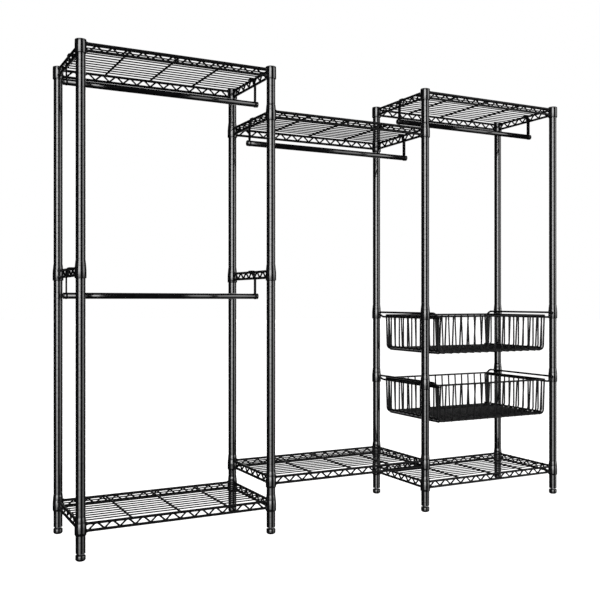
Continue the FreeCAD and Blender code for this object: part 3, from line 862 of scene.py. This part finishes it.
class CLOSET_OT_shelves(Operator):
    """Make the six wire shelves and the two side ladders"""

    bl_idname = "closet.shelves"
    bl_label = "Shelves and ladders"

    def execute(self, context):
        sizes = context.scene.closet.shelf
        gap = sizes.collar_diameter
        collar = collar_shape()
        full_collar = collar_shape(narrows=False)
        for name in SHELVES:
            middle, width, depth = bay_of(name)
            shape = full_collar if name in TOP_SHELVES else collar
            bm = bmesh.new()
            self.deck(bm, sizes, middle, width, depth)
            for sign in (-1, 1):
                truss(bm, middle + Y_AXIS * depth / 2 * sign, X_AXIS, -Y_AXIS * sign, width - gap,
                      sizes.long_periods)
                truss(bm, middle + X_AXIS * width / 2 * sign, Y_AXIS, -X_AXIS * sign, depth - gap,
                      sizes.short_periods)
            copies(bm, shape, collar_spots(middle, width, depth))
            finish_piece(bm, f"wire_{name}", ("coated_wire", "coated_steel"), name)
        for name, sign in zip(LADDERS, (1, -1)):
            low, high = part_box(name)
            middle = Vector((centre(POSTS[PAIR_OF[name]]).x, (low.y + high.y) / 2, low.z))
            bm = bmesh.new()
            truss(bm, middle, Y_AXIS, X_AXIS * sign, high.y - low.y - gap - gap,
                  sizes.short_periods)
            copies(bm, collar, pair_spots(name))
            finish_piece(bm, f"wire_{name}", ("coated_wire", "coated_steel"), name)
        self.sleeves()
        return {"FINISHED"}

    def deck(self, bm, sizes, middle, width, depth):
        """Long deck wires on three cross wires."""
        top = middle.z + sizes.upper_rail + (sizes.rail_wire - sizes.deck_wire) / 2
        top += sizes.deck_proud
        reach = width / 2
        pitch = depth / (sizes.deck_wires + 1)
        for wire in range(sizes.deck_wires):
            y = middle.y - depth / 2 + pitch * (wire + 1)
            rod_between(bm, Vector((middle.x - reach, y, top)), Vector((middle.x + reach, y, top)),
                        sizes.deck_wire, 8)
        below = middle.z + sizes.upper_rail + (sizes.rail_wire - sizes.cross_wire) / 2
        half = (depth - sizes.rail_wire) / 2
        for wire in range(sizes.cross_wires):
            x = middle.x - width / 2 + width * (wire + 1) / (sizes.cross_wires + 1)
            rod_between(bm, Vector((x, middle.y - half, below)),
                        Vector((x, middle.y + half, below)), sizes.cross_wire, 10)

    def sleeves(self):
        """The sleeves that wedge every collar on its post."""
        spots, short_spots = [], []
        for name in SHELVES:
            middle, width, depth = bay_of(name)
            places = short_spots if name in TOP_SHELVES else spots
            places += collar_spots(middle, width, depth)
        for name in sorted(PAIR_OF, key=PAIR_OF.get):
            spots += pair_spots(name)
        bm = bmesh.new()
        copies(bm, sleeve_shape(), spots)
        copies(bm, sleeve_shape(stands=False), short_spots)
        finish_piece(bm, "clip_on_sleeves", ("moulded_plastic",), "collar_sleeves")


class CLOSET_OT_rods(Operator):
    """Make the hanging rods with their hooks and end caps"""

    bl_idname = "closet.rods"
    bl_label = "Hanging rods"

    def execute(self, context):
        sizes = context.scene.closet.rod
        cap = self.cap(sizes)
        cap_spots = []
        for name in RODS:
            low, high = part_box(name)
            middle = centre(name)
            outer = sizes.diameter / 2
            half = (high.x - low.x) / 2
            bm = bmesh.new()
            tube(bm, outer - sizes.wall, outer, -half, half)
            move(bm, at(*middle) @ turned(QUARTER, Y_AXIS))
            finish_piece(bm, f"round_{name}", ("coated_steel",), name)
            cap_spots += [at(high.x, middle.y, middle.z) @ turned(QUARTER, Y_AXIS),
                          at(low.x, middle.y, middle.z) @ turned(-QUARTER, Y_AXIS)]
            self.hooks(sizes, name + "_hooks", middle)
        bm = bmesh.new()
        copies(bm, cap, cap_spots)
        finish_piece(bm, "domed_rod_caps", ("moulded_plastic",), "rod_end_caps")
        return {"FINISHED"}

    def cap(self, sizes):
        """A domed end cap on the Z axis, whose rim stands on the rod's end at zero."""
        outer = sizes.diameter / 2 + CAP_LIP
        plug = sizes.diameter / 2 - sizes.wall - FIT
        shape = bmesh.new()
        turned_solid(shape, [(plug - 0.0008, -0.008), (plug, -0.0072), (plug, 0), (outer, 0),
                             (outer, 0.0024), (outer - 0.0007, 0.0037), (outer - 0.0025, 0.0046),
                             (outer - 0.006, 0.005)])
        return shape

    def hooks(self, sizes, name, rod):
        """The two bent strips of a rod, each with a band round it and a lip behind the rail."""
        low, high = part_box(name)
        shelf = settings().shelf
        strip = sizes.hook_strip
        half = (high.x - low.x) / 2
        leg = half - strip / 2
        rail = half - RAIL_INSET
        near = rail + (shelf.rail_wire + strip) / 2 + 3 * FIT
        inside = rail - (shelf.rail_wire + strip) / 2 - shelf.web_wire - 2 * FIT
        top = high.z - strip / 2
        turns = [(leg, rod.z + sizes.diameter / 2), (leg, top - sizes.step_foot),
                 (near, top - sizes.step_head), (near, top), (inside, top),
                 (inside, high.z - sizes.lip)]
        outer = sizes.diameter / 2 + sizes.band
        wide = strip * 1.5
        band = bmesh.new()
        tube(band, sizes.diameter / 2 + FIT / 2, outer, -wide, wide, edge=3 * FIT)
        bm = bmesh.new()
        for sign in (-1, 1):
            bent_wire(bm, [Vector((sign * x, 0, z)) for x, z in turns],
                      strip_section(strip, sizes.hook_width), sizes.hook_bend, sides=4, steps=4)
        copies(bm, band, [at(sign * leg, 0, rod.z) @ turned(QUARTER, Y_AXIS) for sign in (-1, 1)])
        move(bm, at(rod.x, rod.y))
        finish_piece(bm, f"bent_{name}", ("coated_wire",), name, sharp=FINE)


class CLOSET_OT_baskets(Operator):
    """Make the two wire baskets and the four runners that carry them"""

    bl_idname = "closet.baskets"
    bl_label = "Baskets and runners"

    def execute(self, context):
        sizes = context.scene.closet.basket
        collar = collar_shape()
        for name in RUNNERS:
            self.runner(sizes, collar, name)
        for name in BASKETS:
            self.basket(sizes, name)
        return {"FINISHED"}

    def runner(self, sizes, collar, name):
        """A loop of wire on two collars: an upper run beside them and a lower run further in."""
        low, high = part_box(name)
        post = centre(POSTS[PAIR_OF[name]])
        inward = X_AXIS if "left" in name else -X_AXIS
        beside = (settings().shelf.collar_diameter + sizes.loop_wire) / 2
        middle_y = (low.y + high.y) / 2
        upper = Vector((post.x, middle_y, low.z + sizes.loop_top)) + inward * beside
        lower = Vector((post.x, middle_y, low.z + sizes.loop_low)) + inward * sizes.loop_reach
        reach = Y_AXIS * (high.y - low.y - sizes.loop_wire) / 2
        bm = bmesh.new()
        bent_wire(bm, [upper - reach, upper + reach, lower + reach, lower - reach],
                  round_section(sizes.loop_wire), sizes.loop_bend, sides=12, steps=5, closed=True)
        copies(bm, collar, pair_spots(name))
        finish_piece(bm, f"loop_{name}", ("coated_wire", "coated_steel"), name)

    def basket(self, sizes, name):
        """A basket: rim, frames, upright wires that run on under it, and a bottom of fine wires."""
        low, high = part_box(name)
        wire = sizes.frame_wire
        rim = high.z - wire / 2
        bottom = rim - sizes.height
        middle = (low + high) / 2
        middle.z = 0
        half = Vector(((high.x - low.x - wire) / 2, (high.y - low.y - wire) / 2, 0))
        foot = half - Vector((sizes.side_lean, sizes.front_lean, 0))
        bm = bmesh.new()
        self.rim(bm, sizes, middle + Z_AXIS * rim, half)
        self.frames(bm, sizes, middle, rim, bottom, half, foot)
        self.uprights(bm, sizes, middle, rim, bottom, half, foot)
        self.mesh(bm, sizes, middle + Z_AXIS * bottom, foot)
        finish_piece(bm, f"wire_{name}", ("coated_wire", "fine_wire_painted_sheen"), name)

    def rim(self, bm, sizes, middle, half):
        """A rectangle of round wire with rounded corners."""
        corners = [middle + Vector((half.x * x, half.y * y, 0))
                   for x, y in ((1, -1), (1, 1), (-1, 1), (-1, -1))]
        bent_wire(bm, corners, round_section(sizes.frame_wire), sizes.corner, sides=12, steps=6,
                  closed=True)

    def frames(self, bm, sizes, middle, rim, bottom, half, foot):
        """The front and back frames, bent down at both ends, and a bar under each side."""
        slip = sizes.corner * (1 - math.sqrt(0.5))
        for y in (-1, 1):
            high = Vector((half.x - slip, y * (half.y - slip), rim))
            low = Vector((foot.x, y * foot.y, bottom))
            other = Vector((-1, 1, 1))
            bent_wire(bm, [middle + point for point in (high * other, low * other, low, high)],
                      round_section(sizes.frame_wire), sizes.foot_bend, sides=12, steps=6)
        reach = sizes.foot_bend - (sizes.frame_wire + sizes.wall_wire) / 2
        for x in (-1, 1):
            bar = middle + Vector((x * (foot.x - sizes.foot_bend + reach * math.sin(TUCK)), 0,
                                   bottom + sizes.foot_bend - reach * math.cos(TUCK)))
            rod_between(bm, bar - Y_AXIS * foot.y, bar + Y_AXIS * foot.y, sizes.frame_wire)

    def uprights(self, bm, sizes, middle, rim, bottom, half, foot):
        """Wires that come down one wall, run under the bottom and go up the other wall."""
        wire = sizes.wall_wire
        inset = (sizes.frame_wire + wire) / 2 - WIRE_BITE
        sets = ((X_AXIS, Y_AXIS, foot.x, half.y - inset, foot.y - inset, sizes.front_wires, wire,
                 sizes.front_bend),
                (Y_AXIS, X_AXIS, foot.y, half.x - inset, foot.x, sizes.side_wires, 0,
                 sizes.foot_bend))
        for across, along, spread, rim_reach, foot_reach, wires, drop, bend in sets:
            places = [spread * (2 * (number + 1) / (wires + 1) - 1) for number in range(wires)]
            places += [sign * (spread - sizes.corner_gap) for sign in (-1, 1)]
            for place in places:
                side = middle + across * place
                under = Z_AXIS * (bottom + wire / 2 - drop)
                high = Z_AXIS * (rim - wire / 2)
                turns = ((-rim_reach, high), (-foot_reach, under), (foot_reach, under),
                         (rim_reach, high))
                bent_wire(bm, [side + along * reach + height for reach, height in turns],
                          round_section(wire), bend, steps=4)

    def mesh(self, bm, sizes, middle, foot):
        """The fine wires of the bottom."""
        fine = bmesh.new()
        inner = foot.x - sizes.foot_bend * (1 - math.sin(TUCK))
        for along, across, reach, spread, lift in ((X_AXIS, Y_AXIS, inner, foot.y, 1),
                                                   (Y_AXIS, X_AXIS, foot.y, inner, -1)):
            wires = round(2 * spread / sizes.mesh_pitch) - 1
            for number in range(wires):
                side = middle + across * spread * (2 * (number + 1) / (wires + 1) - 1)
                side += Z_AXIS * lift * sizes.mesh_wire / 2
                rod_between(fine, side - along * reach, side + along * reach, sizes.mesh_wire, 6)
        # The fine wires take the second finish, whose grey is painted sheen
        for face in fine.faces:
            face.material_index = 1
        copies(bm, fine, [Matrix()])


class CLOSET_OT_studio(Operator):
    """Make the pale floor, the reflectors, the soft light and the camera"""

    bl_idname = "closet.studio"
    bl_label = "Studio"

    def execute(self, context):
        self.floor()
        self.reflectors()
        self.lights()
        self.camera(context)
        return {"FINISHED"}

    def stage_piece(self, bm, name, material, hidden_from):
        """A piece of the studio that some rays don't meet."""
        mesh = bpy.data.meshes.new(name)
        bm.to_mesh(mesh)
        bm.free()
        piece = bpy.data.objects.new(name, mesh)
        mesh.materials.append(material)
        bpy.context.collection.objects.link(piece)
        for rays in hidden_from:
            setattr(piece, "visible_" + rays, False)

    def floor(self):
        """A wide pale floor."""
        bm = bmesh.new()
        bmesh.ops.create_circle(bm, cap_ends=True, segments=64, radius=FAR)
        self.stage_piece(bm, "studio_floor", finish_named("floor_paper"),
                         ("glossy", "diffuse", "shadow"))

    def reflectors(self):
        """Tall bright cloths far round the object, which its posts mirror as stripes."""
        foot, top = REFLECTOR_HEIGHTS
        for name, direction, half_width, strength in REFLECTORS:
            bm = bmesh.new()
            aside = FAR * math.tan(math.radians(half_width))
            bm.faces.new([bm.verts.new((x, -FAR, z))
                          for x, z in ((-aside, foot), (aside, foot), (aside, top), (-aside, top))])
            move(bm, turned(math.radians(direction), Z_AXIS))
            self.stage_piece(bm, name, glow(name + "_cloth", strength), ("camera", "shadow"))

    def lights(self):
        """A soft light above, and a surround that only the camera sees."""
        light = bpy.data.lights.new("top_soft_light", "AREA")
        light.shape = "RECTANGLE"
        light.size, light.size_y = LAMP_SIZE
        light.energy = LAMP_POWER
        lamp = bpy.data.objects.new("top_soft_light", light)
        lamp.location = LAMP_PLACE
        lamp.rotation_euler = (LAMP_PLACE - LAMP_AIM).to_track_quat("Z", "Y").to_euler()
        lamp.visible_glossy = False
        bpy.context.collection.objects.link(lamp)
        world = bpy.data.worlds.new("pale_surround")
        world.use_nodes = True
        world.node_tree.nodes["Background"].inputs["Color"].default_value = (1, 1, 1, 1)
        bpy.context.scene.world = world
        world.cycles_visibility.glossy = False
        world.cycles_visibility.diffuse = False
        bpy.context.scene.view_settings.view_transform = "Standard"

    def camera(self, context):
        """The camera of the photograph."""
        lens = bpy.data.cameras.new("studio_camera")
        lens.sensor_width = 36
        lens.lens = CAMERA_LENS
        lens.clip_end = 200
        camera = bpy.data.objects.new("studio_camera", lens)
        camera.location = CAMERA_PLACE
        camera.rotation_euler = CAMERA_TURN
        bpy.context.collection.objects.link(camera)
        context.scene.camera = camera


class CLOSET_PT_sidebar(Panel):
    """The closet organizer's panel"""

    bl_idname = "CLOSET_PT_sidebar"
    bl_label = "Closet organizer"
    bl_space_type = "VIEW_3D"
    bl_region_type = "UI"
    bl_category = "Closet"

    def draw(self, context):
        closet = context.scene.closet
        for group in ("post", "shelf", "rod", "basket", "finish"):
            box = self.layout.box()
            sizes = getattr(closet, group)
            for name in sizes.__annotations__:
                box.prop(sizes, name)
        for operator in OPERATORS:
            self.layout.operator(operator.bl_idname)


GROUPS = (PostSizes, ShelfSizes, RodSizes, BasketSizes, Finishes, ClosetSettings)
OPERATORS = (CLOSET_OT_posts, CLOSET_OT_feet, CLOSET_OT_shelves, CLOSET_OT_rods, CLOSET_OT_baskets,
             CLOSET_OT_studio)


def register():
    """Make the operators, the panel and the settings known."""
    for kind in (*GROUPS, *OPERATORS, CLOSET_PT_sidebar):
        bpy.utils.register_class(kind)
    bpy.types.Scene.closet = PointerProperty(type=ClosetSettings)


def unregister():
    """Take the settings, the panel and the operators away again."""
    del bpy.types.Scene.closet
    for kind in (CLOSET_PT_sidebar, *reversed(OPERATORS), *reversed(GROUPS)):
        bpy.utils.unregister_class(kind)


def main():
    """Dress the whole organizer."""
    register()
    bpy.ops.closet.posts()
    bpy.ops.closet.feet()
    bpy.ops.closet.shelves()
    bpy.ops.closet.rods()
    bpy.ops.closet.baskets()
    bpy.ops.closet.studio()


if __name__ == "__main__":
    main()
